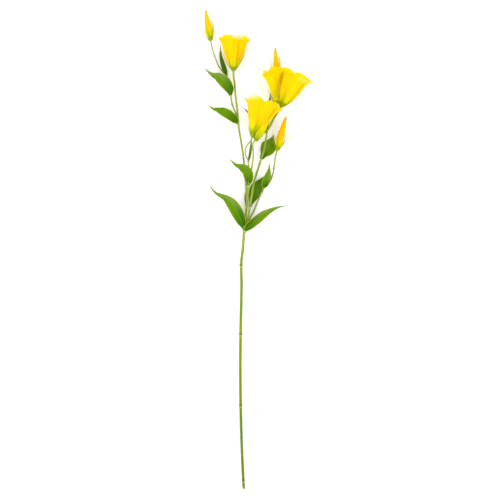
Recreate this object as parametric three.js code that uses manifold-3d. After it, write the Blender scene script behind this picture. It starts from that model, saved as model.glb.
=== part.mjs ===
// A cut lisianthus spray lying on a table: one stem, its shoots, leaves, four blooms and four buds.
// Millimetres. X runs across the spray, Y from the cut end to the tips, Z up from the table.
import * as THREE from "three";
import { mergeVertices } from "three/addons/utils/BufferGeometryUtils.js";
import Module from "manifold-3d";

const wasm = await Module();
wasm.setup();

// ---- Driving dimensions -------------------------------------------------------------------------
const GAP = 0.3; // clearance between two pieces that touch
const UP = new THREE.Vector3(0, 0, 1);

const STEM_SIDES = 6;
const STEM_STEP = 18; // length of stem between two cross-sections
const STEM_LEAST_STEPS = 8;
const RING_HALF_LENGTH = 2.5;
const RING_SWELLING = 0.28; // how much a ring stands out, as a share of the stem's radius
const STALK_STRAIGHT = 6; // length of a stalk that is in line with its flower

const LEAF_THICKNESS = 0.8;
const LEAF_ROWS = 7;
const LEAF_COLUMNS = 4;
const LEAF_RIPPLES = 9; // radians of ripple from base to tip

const PETALS = 5; // petals, sepals and stamens all come in fives
const PETAL_THICKNESS = 0.7;
const PETAL_ROWS = 6;
const PETAL_COLUMNS = 4;
const PETAL_HALF_ANGLE = 50; // degrees; more than 36, so that neighbours overlap
const PETAL_ROUND = 2.4; // the power by which a petal's top falls from its middle to its corners
const SPIRAL_ROOT = 0.45; // one edge outside and one inside by this much at the root of a petal
const SPIRAL_RIM = 1.5; // and by this much near the rim
const RIM_POWER = 5; // the higher it is, the nearer the rim that the waves begin
const RUFFLE = 1.3; // height of the waves round the rim
const RUFFLES = 7; // waves in a full turn
const OPEN_FROM = 0.2; // share of a petal's length from which it turns out, dropping as much
const CURL_FROM = 0.7; // share from which it also curls down
const CURL = 0.5; // how far it curls down, as a share of how far it stands out

const BUD_SIDES = 10;
const BUD_TWIST = 150; // degrees that the furled petals turn from base to tip
const SEPAL_THICKNESS = 0.9;
const SEPAL_TIP = 0.45; // width of a sepal's tip, as a share of its foot
const SEPAL_STAGGER = 0.3; // every second sepal of a bloom stands off more by this much at each point
const STAMEN_SIDES = 3;
const OVARY_SIDES = 6;
const STIGMA_SIDES = 5;

const COLOURS = {
  stem: { color: 0x96aa3c, roughness: 0.6 },
  leaf: { color: 0x5fa012, roughness: 0.55 },
  sepal: { color: 0xaebd58, roughness: 0.6 },
  petal: { color: 0xffdc00, roughness: 0.65 },
  stamen: { color: 0xe8c93a, roughness: 0.7 },
  pistil: { color: 0xb9c95a, roughness: 0.6 },
};

// The bell of an open flower of size 1, from the throat to the rim: height above its foot, radius of the
// bell, and how far the rim turns out beyond it.
const BELL = [
  [6.5, 5.1, 0],
  [12, 8.8, 0],
  [22, 13.2, 0],
  [34, 16.4, 0.2],
  [44, 17.6, 1.8],
  [51, 18.2, 5.0],
  [57, 18.8, 8.4],
];

// How far a bloom's sepals stand off the petals, at heights above its foot. They root in the cup's wall.
const SEPAL_STANDOFF = [
  [3.4, 4.0],
  [12, 1.9],
  [22, 3.0],
  [31, 4.8],
  [39, 7.6],
];

// Parts of an open flower of size 1, as [radius, height above its foot] pairs.
const THROAT = [
  [0, 2.4],
  [1.7, 2.4],
  [4.3, 4.6],
  [6.6, 8.4],
  [5.6, 8.8],
  [3.2, 5.2],
  [1.2, 3.6],
  [0, 3.6],
];
const BLOOM_CUP = [
  [0, 0],
  [1.7, 0],
  [3.2, 1.0],
  [4.9, 4.0],
  [4.3, 4.2],
  [2.0, 1.8],
  [0, 1.8],
];
const STAMEN_DISC = [
  [1.5, 4.2],
  [2.7, 5.2],
  [2.7, 6.0],
  [1.5, 6.0],
  [1.5, 4.2],
];
const OVARY = [
  [0, 4.0],
  [1.1, 4.0],
  [1.2, 6.4],
  [2.4, 10],
  [2.2, 15],
  [0.8, 19],
  [0.7, 24],
  [0, 24],
];

// A stamen and a lobe of the stigma, as [distance from the axis, height, half thickness].
const STAMEN = [
  [2.1, 5.6, 0.5],
  [3.5, 10, 0.5],
  [4.2, 20, 0.45],
  [4.4, 20.6, 1.1],
  [4.7, 23.5, 1.1],
  [4.8, 26, 0.5],
];
const STIGMA_LOBE = [
  [0.1, 22.5, 0.5],
  [1.5, 25.5, 1.5],
  [2.2, 28, 1.5],
  [2.3, 29.6, 0.6],
];
const BLOOM_SEPAL_WIDTH = 2.4;

// foot: where the stalk ends. tilt: degrees towards +X. lean: degrees up from the table.
// turn: degrees about its own axis. slim and flare scale the two widths of BELL. open: how far each
// petal's rim stands out beyond the bell, rolling back as it does. notch: how deep the rim is cut between
// each petal and the next, as a share of their length. sepal: scale of the sepals' length.
const BLOOMS = [
  {
    name: "left",
    foot: [-17.7, 711.5, 20.6],
    tilt: 1,
    lean: 8,
    turn: 54,
    size: 1.06,
    slim: 0.95,
    flare: 0.5,
    open: [0, 3.5, 1, 2.5, 0],
    notch: [0.12, 0.12, 0.14, 0.08, 0.1],
    sepal: 0.95,
  },
  {
    name: "middle",
    foot: [13.8, 598, 65],
    tilt: 20,
    lean: -8,
    turn: 16,
    size: 1.25,
    slim: 0.88,
    flare: 0.4,
    open: [5, 3, 3, 8.5, 4],
    notch: [0.1, 0.36, 0.08, 0.14, 0.14],
    sepal: 0.67,
  },
  {
    name: "right",
    foot: [62.6, 650, 40.5],
    tilt: 29,
    lean: 9,
    turn: 5,
    size: 1.13,
    slim: 0.92,
    flare: 0.7,
    open: [-2, 0, 1, 1, 0],
    notch: [0.12, 0.14, 0.14, 0.2, 0.08],
    sepal: 0.85,
  },
  {
    name: "rear",
    foot: [56.5, 655.5, 13],
    tilt: -3,
    lean: 20,
    turn: 35,
    size: 1.1,
    slim: 0.6,
    flare: 0.7,
    open: [-3, -3, 1, 5, -2],
    notch: [0.16, 0.16, 0.16, 0.2, 0.1],
    sepal: 0.55,
  },
];

// A bud's cup as [radius, height] pairs, and its sepals as [distance off the petals, height, share of the
// spread]; the first pair of a sepal is in the cup's wall.
const BUD_CUP = [
  [0, 0],
  [1.4, 0],
  [3.4, 1.2],
  [4.8, 4.4],
  [4.2, 4.6],
  [2.4, 1.8],
  [0, 1.8],
];
const BUD_SEPAL_ROOT = [4.0, 3.6];
const BUD_SEPAL = [
  [1.0, 12, 0.2],
  [1.6, 20, 0.6],
  [1.6, 29, 1],
];
const BUD_SEPAL_WIDTH = 2.2;
const BUD_PETAL_START = 2.4; // height of the furled petals' lower end above the bud's foot
const BUD_ROWS = 8;
const BUD_FURROW = 0.9; // radius in the furrows between the furled petals, as a share

// A furled bud's radius, as a share of its widest, at shares of its length: a long taper to a blunt tip.
const BUD_OUTLINE = [
  [0, 0.28],
  [0.06, 0.58],
  [0.14, 0.84],
  [0.28, 1],
  [0.53, 0.81],
  [0.76, 0.55],
  [0.93, 0.33],
  [1, 0.24],
];

// spread: how far the sepals' tips stand off the bud. sepal: scale of the sepals' length.
const BUDS = [
  { name: "left", foot: [-56.5, 763.6, 9.5], tip: [-65.4, 816, 8], radius: 6.8, spread: 5, sepal: 1.2 },
  { name: "rear", foot: [57, 698.5, 8.0], tip: [53.2, 752.2, 7.6], radius: 5.9, spread: 1, sepal: 1.3 },
  { name: "front", foot: [18.6, 592.5, 69], tip: [43.6, 628.5, 95], radius: 6.2, spread: 0, sepal: 1 },
  { name: "low", foot: [56.4, 576.5, 18], tip: [71.4, 634.4, 15], radius: 7.2, spread: 9, sepal: 1.15 },
];

// route: points along the middle. radii: the radius at shares of the length. nodes: shares of the length
// with a swollen ring. end: the flower or bud that the shoot carries.
const MAIN_STEM = {
  name: "main_stem",
  route: [
    [0, 0, 2.6],
    [-1, 15, 2.6],
    [-4, 84.5, 3.6],
    [-5.5, 144, 4.6],
    [-6, 220.5, 6.4],
    [-5.5, 270, 7.6],
    [-4, 348, 9.4],
    [-4.5, 384, 10.2],
    [-2, 407.5, 10.8],
    [0.5, 440, 12],
    [2, 457, 13],
    [4.5, 482.5, 14],
    [5, 498, 14.6],
    [2.5, 528.5, 15.6],
    [0.5, 553, 16.4],
    [-4, 588, 17],
    [-8.5, 615, 17.5],
    [-9.5, 627, 17.8],
    [-11, 645, 18.2],
    [-14, 669, 18.8],
    [-15.8, 692, 19.4],
  ],
  radii: [
    [0, 2.15],
    [0.5, 2.4],
    [0.6, 2.3],
    [0.68, 1.75],
    [1, 1.5],
  ],
  nodes: [0.02, 0.2, 0.37, 0.535, 0.62, 0.88],
  end: "left_bloom",
};

const SHOOTS = [
  {
    name: "left_side_shoot",
    route: [
      [-9.5, 627, 17.8],
      [-14, 641, 17],
      [-19.5, 654, 16],
      [-22.5, 670.5, 14.5],
      [-25.5, 690, 13],
      [-29, 704.5, 12],
      [-35, 710.5, 12],
      [-42.5, 720, 11.5],
      [-49.5, 737, 11],
      [-54, 751, 10.5],
    ],
    radii: [
      [0, 1.4],
      [1, 1.0],
    ],
    nodes: [0.2, 0.34, 0.6],
    end: "left_bud",
  },
  {
    name: "right_shoot",
    route: [
      [1, 441, 12.2],
      [7, 462, 15.5],
      [10.5, 482.5, 17.5],
      [12, 492.5, 18],
      [16, 516.5, 18.5],
      [20.5, 534, 19],
      [29.5, 562.5, 20],
      [35, 581, 19.5],
      [38, 600, 18.5],
      [39.8, 610, 18.5],
      [45.5, 621, 23],
      [52, 633, 30],
    ],
    radii: [
      [0, 2.0],
      [1, 1.5],
    ],
    nodes: [0.19, 0.56, 0.79],
    end: "right_bloom",
  },
  {
    name: "rear_bloom_stalk",
    route: [
      [39.8, 610, 18.5],
      [46.5, 621, 16],
      [53, 637, 12.5],
    ],
    radii: [
      [0, 1.1],
      [1, 1.2],
    ],
    nodes: [],
    end: "rear_bloom",
  },
  {
    name: "rear_bud_stalk",
    route: [
      [39.8, 610, 18.5],
      [46, 621, 9.5],
      [54, 640, 5],
      [60, 664, 4.2],
      [60, 684, 4.6],
    ],
    radii: [
      [0, 1.0],
      [1, 0.95],
    ],
    nodes: [0.4],
    end: "rear_bud",
  },
  {
    name: "low_bud_shoot",
    route: [
      [1, 436, 11.8],
      [10, 460.5, 9.5],
      [16, 472.5, 10],
      [23, 489, 11.5],
      [31.5, 508, 13],
      [34, 513, 13.4],
      [40, 517.5, 14],
      [46, 527, 15],
      [49.5, 537.5, 16],
      [51, 547, 17],
      [53, 562, 18],
    ],
    radii: [
      [0, 1.5],
      [1, 1.2],
    ],
    nodes: [0.5, 0.8],
    end: "low_bud",
  },
  {
    name: "centre_shoot",
    route: [
      [4.5, 482.5, 14],
      [7, 498, 18.5],
      [7.6, 518, 23],
      [9.5, 530, 27],
      [13, 545, 36],
      [16, 569, 52],
    ],
    radii: [
      [0, 1.4],
      [1, 1.15],
    ],
    nodes: [0.3],
    end: "front_bud",
  },
  {
    name: "middle_bloom_stalk",
    route: [
      [7.6, 518, 23],
      [7.6, 540, 30],
      [7.4, 559, 38.5],
      [3.4, 567, 44.5],
      [2.2, 575, 50.5],
      [4.4, 583.5, 57],
    ],
    radii: [
      [0, 1.05],
      [1, 1.15],
    ],
    nodes: [0.45],
    end: "middle_bloom",
  },
];

// A leaf's half width, as a share of its widest, at shares of its length: a clasping base, the widest
// part a third of the way along, and a long drawn-out tip.
const LEAF_EDGE = [
  [0, 0.3],
  [0.12, 0.78],
  [0.3, 1.0],
  [0.48, 0.86],
  [0.64, 0.5],
  [0.8, 0.24],
  [1, 0.06],
];

// route: points along the midrib, from inside the stem that the leaf grows on. width: across the widest
// part. blunt: over 1 moves the widest part towards the tip. roll: degrees that the face turns about the
// midrib, at the base and at the tip. fold: degrees that each half rises from flat. wave: height of the
// ripple along the edge.
const LEAVES = [
  {
    name: "leaf_lower_left",
    route: [
      [0.3, 445, 12.2],
      [-8.3, 466.8, 19],
      [-19.7, 485.5, 20],
      [-30.4, 495.7, 16],
      [-39.8, 500.7, 11.5],
      [-46.5, 503.8, 8],
      [-52.5, 509.5, 5],
      [-58, 517, 3],
    ],
    width: 21,
    blunt: 1,
    roll: [-8, -14],
    fold: 14,
    wave: 1.0,
  },
  {
    name: "leaf_lower_right",
    route: [
      [1, 440, 12],
      [11.2, 451, 18.5],
      [23.6, 461.4, 20.5],
      [34.5, 469.7, 18],
      [47.1, 476.3, 13],
      [58.3, 480.6, 8],
      [73.3, 483.8, 3],
    ],
    width: 17,
    blunt: 1,
    roll: [24, 30],
    fold: 16,
    wave: 0.9,
  },
  {
    name: "leaf_shoot_front",
    route: [
      [7.6, 519, 21.5],
      [8.4, 531, 31],
      [5.4, 541.5, 35],
      [-3.2, 548, 34],
      [-13.8, 552.5, 29.5],
      [-24, 562, 24],
    ],
    width: 17.5,
    blunt: 1.1,
    roll: [-10, -10],
    fold: 14,
    wave: 0.8,
  },
  {
    name: "leaf_shoot_narrow",
    route: [
      [7.2, 556, 37.3],
      [9.8, 573, 39.5],
      [11.8, 587, 40],
      [13, 601, 39],
    ],
    width: 10,
    blunt: 1.2,
    roll: [62, 62],
    fold: 10,
    wave: 0.3,
  },
  {
    name: "leaf_behind_stems",
    route: [
      [10, 481.5, 17.2],
      [14.2, 497, 9],
      [19.8, 510.5, 6],
      [26.2, 522.5, 5],
      [34.5, 533, 5],
    ],
    width: 24,
    blunt: 1.7,
    roll: [50, 0],
    fold: 8,
    wave: 0.8,
  },
  {
    name: "leaf_behind_narrow",
    route: [
      [4.6, 478, 13.8],
      [3.3, 490.5, 8.5],
      [2.9, 504.5, 6],
      [6.1, 521.5, 5],
    ],
    width: 6,
    blunt: 1,
    roll: [-65, -60],
    fold: 10,
    wave: 0.3,
  },
  {
    name: "leaf_low_bud",
    route: [
      [34, 513.4, 13.4],
      [37, 524, 20],
      [41.5, 538, 22],
      [43.5, 555.5, 19],
    ],
    width: 14,
    blunt: 1.1,
    roll: [4, 24],
    fold: 22,
    wave: 0.5,
  },
  {
    name: "leaf_right_broad",
    route: [
      [29.7, 563, 20],
      [35, 572, 12.5],
      [41, 582, 8],
      [46.5, 592.5, 6],
      [51, 603, 5],
    ],
    width: 26,
    blunt: 1.8,
    roll: [0, 0],
    fold: 10,
    wave: 0.8,
  },
  {
    name: "leaf_upper_rear",
    route: [
      [39.6, 609, 18.5],
      [27.5, 620, 13],
      [12.8, 635.5, 12],
      [-0.8, 650, 14],
    ],
    width: 14,
    blunt: 1.2,
    roll: [35, 35],
    fold: 16,
    wave: 0.4,
  },
  {
    name: "leaf_upper_hidden",
    route: [
      [39.2, 606, 18.4],
      [36.5, 622, 10],
      [40, 642, 6],
      [43.5, 658, 4.5],
      [45, 674, 4],
    ],
    width: 14,
    blunt: 1.3,
    roll: [-10, 0],
    fold: 8,
    wave: 0.4,
  },
  {
    name: "leaf_left_lower",
    route: [
      [-9.4, 623, 17.8],
      [-18.5, 631.5, 22],
      [-30.5, 640, 21],
      [-43, 645.5, 15],
      [-53, 648.5, 9.5],
      [-60.5, 655, 5],
    ],
    width: 17,
    blunt: 1.1,
    roll: [18, 10],
    fold: 18,
    wave: 0.7,
  },
  {
    name: "leaf_left_upper",
    route: [
      [-22.6, 671, 14.5],
      [-25, 683, 20],
      [-33, 694.5, 20],
      [-43, 702, 16],
      [-54, 706.5, 11],
      [-66.5, 716.5, 5],
    ],
    width: 20,
    blunt: 1.15,
    roll: [-14, -8],
    fold: 16,
    wave: 0.8,
  },
  {
    name: "leaf_left_top",
    route: [
      [-29, 704, 12],
      [-35.8, 719, 15],
      [-39.8, 736, 13],
      [-40.3, 757, 9],
    ],
    width: 15,
    blunt: 1,
    roll: [52, 60],
    fold: 12,
    wave: 0.4,
  },
];

// ---- Solids ------------------------------------------------------------------------------------
const point = (p) => new THREE.Vector3(p[0], p[1], p[2]);
const radians = THREE.MathUtils.degToRad;
const lerp = THREE.MathUtils.lerp;
const smoothstep = THREE.MathUtils.smoothstep;

// The value at a share, on a smooth curve through a table of [share, value] pairs.
function readTable(table, share) {
  const curve = new THREE.SplineCurve(table.map(([at, value]) => new THREE.Vector2(at, value)));
  const after = table.findIndex(([at]) => at >= share && at > 0);
  const [from, to] = [table[after - 1][0], table[after][0]];
  return curve.getPoint((after - 1 + (share - from) / (to - from)) / (table.length - 1)).y;
}

// Closed rings of points joined in order, with a flat cap at each end.
function loft(rings) {
  const count = rings[0].length;
  const positions = rings.flat().flatMap((p) => [p.x, p.y, p.z]);
  const triangles = [];
  for (let r = 0; r + 1 < rings.length; r++) {
    for (let k = 0; k < count; k++) {
      const a = r * count + k;
      const b = r * count + ((k + 1) % count);
      triangles.push(a, b, b + count, a, b + count, a + count);
    }
  }
  const last = (rings.length - 1) * count;
  for (let k = 1; k + 1 < count; k++) {
    triangles.push(0, k + 1, k);
    triangles.push(last, last + k, last + k + 1);
  }
  return solidOf(positions, triangles);
}

// A thin blade from a grid of points, given the same thickness all over. Both faces are split alike.
function blade(grid, thickness) {
  const rows = grid.length;
  const columns = grid[0].length;
  const face = rows * columns;
  const normals = grid.map((row, i) => row.map((_, j) => gridNormal(grid, i, j)));
  const positions = [];
  for (const side of [0.5, -0.5]) {
    grid.forEach((row, i) =>
      row.forEach((p, j) => {
        const q = p.clone().addScaledVector(normals[i][j], side * thickness);
        positions.push(q.x, q.y, q.z);
      }),
    );
  }
  const triangles = [];
  for (let i = 0; i + 1 < rows; i++) {
    for (let j = 0; j + 1 < columns; j++) {
      const a = i * columns + j;
      const b = a + 1;
      const c = b + columns;
      const d = a + columns;
      triangles.push(a, b, c, a, c, d);
      triangles.push(face + a, face + c, face + b, face + a, face + d, face + c);
    }
  }
  const edge = edgeLoop(rows, columns);
  edge.forEach((a, k) => {
    const b = edge[(k + 1) % edge.length];
    triangles.push(a, face + a, face + b, a, face + b, b);
  });
  return solidOf(positions, triangles);
}

function gridNormal(grid, i, j) {
  const last = grid.length - 1;
  const end = grid[0].length - 1;
  const along = grid[Math.min(i + 1, last)][j].clone().sub(grid[Math.max(i - 1, 0)][j]);
  const across = grid[i][Math.min(j + 1, end)].clone().sub(grid[i][Math.max(j - 1, 0)]);
  return across.cross(along).normalize();
}

// The grid's border, in the order that makes the walls face out.
function edgeLoop(rows, columns) {
  const loop = [];
  for (let j = 0; j < columns - 1; j++) loop.push(j);
  for (let i = 0; i < rows - 1; i++) loop.push(i * columns + columns - 1);
  for (let j = columns - 1; j > 0; j--) loop.push((rows - 1) * columns + j);
  for (let i = rows - 1; i > 0; i--) loop.push(i * columns);
  return loop;
}

function solidOf(positions, triangles) {
  const geometry = new THREE.BufferGeometry();
  geometry.setAttribute("position", new THREE.Float32BufferAttribute(positions, 3));
  geometry.setIndex(triangles);
  return manifoldOf(geometry);
}

function manifoldOf(geometry) {
  const bare = new THREE.BufferGeometry();
  bare.setAttribute("position", geometry.getAttribute("position"));
  bare.setIndex(geometry.getIndex());
  const merged = mergeVertices(bare, 1e-4);
  const mesh = new wasm.Mesh({
    numProp: 3,
    vertProperties: new Float32Array(merged.attributes.position.array),
    triVerts: new Uint32Array(merged.index.array),
  });
  return new wasm.Manifold(mesh);
}

// A turned solid about +Y, from [radius, height] pairs that start and end on the axis.
function turned(profile, sides) {
  const outline = profile.map(([radius, height]) => new THREE.Vector2(radius, height));
  return manifoldOf(new THREE.LatheGeometry(outline, sides));
}

const fused = (solids) => solids.reduce((whole, next) => whole.add(next));

function largestBody(solid) {
  const bodies = solid.decompose();
  return bodies.reduce((best, body) => (body.volume() > best.volume() ? body : best));
}

function meshOf(name, solid, colour) {
  const made = solid.getMesh();
  const geometry = new THREE.BufferGeometry();
  geometry.setAttribute("position", new THREE.Float32BufferAttribute(made.vertProperties, 3));
  geometry.setIndex([...made.triVerts]);
  const material = new THREE.MeshStandardMaterial({ ...COLOURS[colour], metalness: 0, flatShading: true });
  const mesh = new THREE.Mesh(geometry, material);
  mesh.name = name;
  return mesh;
}

// ---- Stems -------------------------------------------------------------------------------------
// The side and the upward direction of a piece that runs along the tangent.
function frameAt(tangent) {
  const side = new THREE.Vector3().crossVectors(tangent, UP).normalize();
  const up = new THREE.Vector3().crossVectors(side, tangent).normalize();
  return { side, up };
}

// Height of the swellings round a stem at a share of its length: 1 in the middle of a ring.
function swelling(stem, share) {
  const distances = stem.nodes.map((node) => ((share - node) * stem.length) / RING_HALF_LENGTH);
  return distances.reduce((sum, distance) => sum + Math.exp(-distance * distance), 0);
}

function stemRadius(stem, share) {
  return readTable(stem.radii, share) * (1 + RING_SWELLING * swelling(stem, share));
}

// Shares of the length where a stem needs a cross-section: even steps, and three at each ring.
function stemStations(stem) {
  const steps = Math.max(STEM_LEAST_STEPS, Math.round(stem.length / STEM_STEP));
  const stations = Array.from({ length: steps + 1 }, (_, k) => k / steps);
  const near = (2 * RING_HALF_LENGTH) / stem.length;
  const clear = stations.filter((s) => stem.nodes.every((node) => Math.abs(s - node) > near));
  const rings = stem.nodes.flatMap((node) => [node - near, node, node + near]);
  return [...clear, ...rings].filter((s) => s >= 0 && s <= 1).sort((a, b) => a - b);
}

function stemSolid(stem, grown) {
  const rings = stemStations(stem).map((share) => {
    const centre = stem.curve.getPointAt(share);
    const { side, up } = frameAt(stem.curve.getTangentAt(share));
    const radius = stemRadius(stem, share) + grown;
    return circle(centre, side, up, radius, radius, STEM_SIDES);
  });
  return loft(rings);
}

// A ring of points round a centre, flat or oval, in the plane of the two directions.
function circle(centre, side, up, sideRadius, upRadius, sides) {
  return Array.from({ length: sides }, (_, k) => {
    const angle = (2 * Math.PI * k) / sides;
    return centre
      .clone()
      .addScaledVector(side, -sideRadius * Math.cos(angle))
      .addScaledVector(up, upRadius * Math.sin(angle));
  });
}

// The stalk runs straight into the foot of what it carries, and stops a gap short of it.
function withEnd(stem, carried) {
  const { foot, axis } = carried.get(stem.end);
  const route = stem.route.map(point);
  route.push(foot.clone().addScaledVector(axis, -STALK_STRAIGHT), foot.clone().addScaledVector(axis, -GAP));
  const curve = new THREE.CatmullRomCurve3(route, false, "centripetal");
  return { ...stem, curve, length: curve.getLength() };
}

// ---- Leaves ------------------------------------------------------------------------------------
function leafSolid(leaf) {
  const curve = new THREE.CatmullRomCurve3(leaf.route.map(point), false, "centripetal");
  const grid = [];
  for (let i = 0; i <= LEAF_ROWS; i++) {
    const share = i / LEAF_ROWS;
    const half = (leaf.width / 2) * readTable(LEAF_EDGE, Math.pow(share, leaf.blunt));
    const { side, up } = leafFrame(leaf, curve, share);
    const row = [];
    for (let j = 0; j <= LEAF_COLUMNS; j++) {
      const across = 1 - (2 * j) / LEAF_COLUMNS;
      const lift = Math.abs(across) * half * Math.tan(radians(leaf.fold));
      const wave = leaf.wave * Math.abs(across) * Math.sin(Math.PI * share);
      const ripple = wave * Math.sin(LEAF_RIPPLES * share + 2 * across);
      const p = curve.getPointAt(share);
      p.addScaledVector(side, across * half).addScaledVector(up, lift + ripple);
      row.push(p);
    }
    grid.push(row);
  }
  return blade(grid, LEAF_THICKNESS);
}

function leafFrame(leaf, curve, share) {
  const tangent = curve.getTangentAt(share);
  const { side, up } = frameAt(tangent);
  const angle = radians(lerp(leaf.roll[0], leaf.roll[1], share));
  return { side: side.applyAxisAngle(tangent, angle), up: up.applyAxisAngle(tangent, angle) };
}

// ---- Blooms ------------------------------------------------------------------------------------
const bellCurve = new THREE.CatmullRomCurve3(BELL.map(point));

// How far the rim stands out at an angle about the axis: smooth between the middles of the petals.
function openAt(bloom, angle) {
  const place = (PETALS * angle) / (2 * Math.PI) + PETALS;
  const petal = Math.floor(place);
  return lerp(bloom.open[petal % PETALS], bloom.open[(petal + 1) % PETALS], smoothstep(place - petal, 0, 1));
}

// A point of one petal's middle surface: across from -1 to 1, and along from 0 at the throat to 1.
function petalPoint(bloom, petal, across, along) {
  const notch = bloom.notch[(across > 0 ? petal : petal + PETALS - 1) % PETALS];
  const reach = along * (1 - notch * Math.pow(Math.abs(across), PETAL_ROUND));
  const { x: height, y: bell, z: turnedOut } = bellCurve.getPoint(reach);
  const halfAngle = radians(PETAL_HALF_ANGLE) * lerp(0.9, 1, along);
  const angle = (2 * Math.PI * petal) / PETALS + across * halfAngle;
  const spiral = across * lerp(SPIRAL_ROOT, SPIRAL_RIM, smoothstep(along, 0, 0.5));
  const ruffle = RUFFLE * Math.pow(reach, RIM_POWER) * Math.sin(RUFFLES * angle + petal);
  const opening = openAt(bloom, angle);
  const open = opening * smoothstep(reach, OPEN_FROM, 1);
  const curl = Math.max(opening, 0) * CURL * smoothstep(reach, CURL_FROM, 1);
  const slim = lerp(1, bloom.slim, smoothstep(along, 0, 0.25));
  const radius = bloom.size * (bell * slim + turnedOut * bloom.flare) + spiral + ruffle + open;
  const level = bloom.size * height - Math.max(open, 0) - curl;
  return new THREE.Vector3(radius * Math.cos(angle), level, radius * Math.sin(angle));
}

function petalSolid(bloom, petal) {
  const grid = [];
  for (let i = 0; i <= PETAL_ROWS; i++) {
    const row = [];
    for (let j = 0; j <= PETAL_COLUMNS; j++) {
      row.push(petalPoint(bloom, petal, 1 - (2 * j) / PETAL_COLUMNS, i / PETAL_ROWS));
    }
    grid.push(row);
  }
  return blade(grid, PETAL_THICKNESS);
}

const scaled = (profile, size) => profile.map((pair) => pair.map((value) => value * size));

// The closed throat, which the five petals grow out of.
function corollaSolid(bloom) {
  const throat = turned(scaled(THROAT, bloom.size), 2 * PETALS);
  const petals = Array.from({ length: PETALS }, (_, petal) => petalSolid(bloom, petal));
  return fused([throat, ...petals]);
}

// A cup with five narrow sepals, which stand off the petals.
function calyxSolid(cup, sepals) {
  return fused([turned(cup, 2 * PETALS), ...sepals]);
}

// A sepal follows [radius, height] points at one angle about the axis, and tapers to its tip.
function sepalSolid(path, angle, width) {
  const { out, across } = directionsAt(angle);
  const rings = path.map(([radius, height], k) => {
    const taper = lerp(1, SEPAL_TIP, k / (path.length - 1));
    const centre = out.clone().multiplyScalar(radius).setY(height);
    const half = (width / 2) * taper;
    return [
      centre.clone().addScaledVector(across, -half),
      centre.clone().addScaledVector(across, half),
      centre.clone().addScaledVector(out, SEPAL_THICKNESS * taper),
    ];
  });
  return loft(rings);
}

// Radius of the bell of an open flower at a height above its foot.
function bellRadius(height) {
  const after = Math.max(1, BELL.findIndex(([at]) => at >= height));
  const [low, high] = [BELL[after - 1], BELL[after]];
  return lerp(low[1], high[1], (height - low[0]) / (high[0] - low[0]));
}

function bloomCalyx(bloom) {
  const sepals = fives((angle, k) => {
    const path = SEPAL_STANDOFF.map(([height, standoff], i) => {
      const reach = i ? height * bloom.sepal : height;
      const petals = i ? bellRadius(reach) * lerp(1, bloom.slim, smoothstep(reach, 6, 16)) : 0;
      const stagger = SEPAL_STAGGER * i * (k % 2);
      return [bloom.size * (petals + standoff) + stagger, bloom.size * reach];
    });
    return sepalSolid(path, angle, BLOOM_SEPAL_WIDTH);
  });
  return calyxSolid(scaled(BLOOM_CUP, bloom.size), sepals);
}

// Five copies round the axis, each half way between two petals.
function fives(make) {
  return Array.from({ length: PETALS }, (_, k) => make((2 * Math.PI * (k + 0.5)) / PETALS, k));
}

// The outward and the sideways direction at an angle about +Y.
function directionsAt(angle) {
  const out = new THREE.Vector3(Math.cos(angle), 0, Math.sin(angle));
  const across = new THREE.Vector3(-Math.sin(angle), 0, Math.cos(angle));
  return { out, across };
}

// A stalk-like solid from [distance from the axis, height, half thickness], at one angle about +Y.
function limb(stations, angle, flatness, sides) {
  const { out, across } = directionsAt(angle);
  const rings = stations.map(([distance, height, half]) => {
    const centre = out.clone().multiplyScalar(distance).setY(height);
    return circle(centre, out, across, flatness * half, half, sides);
  });
  return loft(rings);
}

// Five stamens on a ring round the pistil's foot.
function stamensSolid(bloom) {
  const disc = turned(scaled(STAMEN_DISC, bloom.size), 2 * PETALS);
  const stamens = fives((angle) => limb(scaled(STAMEN, bloom.size), angle, 1, STAMEN_SIDES));
  return fused([disc, ...stamens]);
}

// The ovary, its style and the two lobes of the stigma.
function pistilSolid(bloom) {
  const body = turned(scaled(OVARY, bloom.size), OVARY_SIDES);
  const lobe = scaled(STIGMA_LOBE, bloom.size);
  const lobes = [0, Math.PI].map((angle) => limb(lobe, angle, 0.5, STIGMA_SIDES));
  return fused([body, ...lobes]);
}

// ---- Buds --------------------------------------------------------------------------------------
function budSolid(bud) {
  const rings = [];
  for (let i = 0; i <= BUD_ROWS; i++) {
    const share = i / BUD_ROWS;
    const height = lerp(BUD_PETAL_START, bud.length, share);
    const widest = bud.radius * readTable(BUD_OUTLINE, share);
    const corners = [];
    for (let k = 0; k < BUD_SIDES; k++) {
      const angle = -(2 * Math.PI * k) / BUD_SIDES + radians(BUD_TWIST) * share;
      const radius = widest * (k % 2 ? BUD_FURROW : 1);
      corners.push(new THREE.Vector3(radius * Math.cos(angle), height, radius * Math.sin(angle)));
    }
    rings.push(corners);
  }
  return loft(rings);
}

// The sepals on the table's side of a bud stay close to it.
function budCalyx(bud) {
  const sepals = fives((angle) => {
    const spread = bud.spread * smoothstep(Math.sin(angle), -0.9, 0.3);
    const path = BUD_SEPAL.map(([off, height, share]) => {
      return [bud.radius + off + share * spread, bud.sepal * height];
    });
    return sepalSolid([BUD_SEPAL_ROOT, ...path], angle, BUD_SEPAL_WIDTH);
  });
  return calyxSolid(BUD_CUP, sepals);
}

// ---- The spray ---------------------------------------------------------------------------------
function placedBloom(bloom) {
  const group = new THREE.Group();
  group.position.set(...bloom.foot);
  group.rotation.set(radians(bloom.lean), radians(bloom.turn), radians(-bloom.tilt), "ZXY");
  group.add(meshOf(`${bloom.name}_bloom_petals`, corollaSolid(bloom), "petal"));
  group.add(meshOf(`${bloom.name}_bloom_calyx`, bloomCalyx(bloom), "sepal"));
  group.add(meshOf(`${bloom.name}_bloom_stamens`, stamensSolid(bloom), "stamen"));
  group.add(meshOf(`${bloom.name}_bloom_pistil`, pistilSolid(bloom), "pistil"));
  return group;
}

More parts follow.
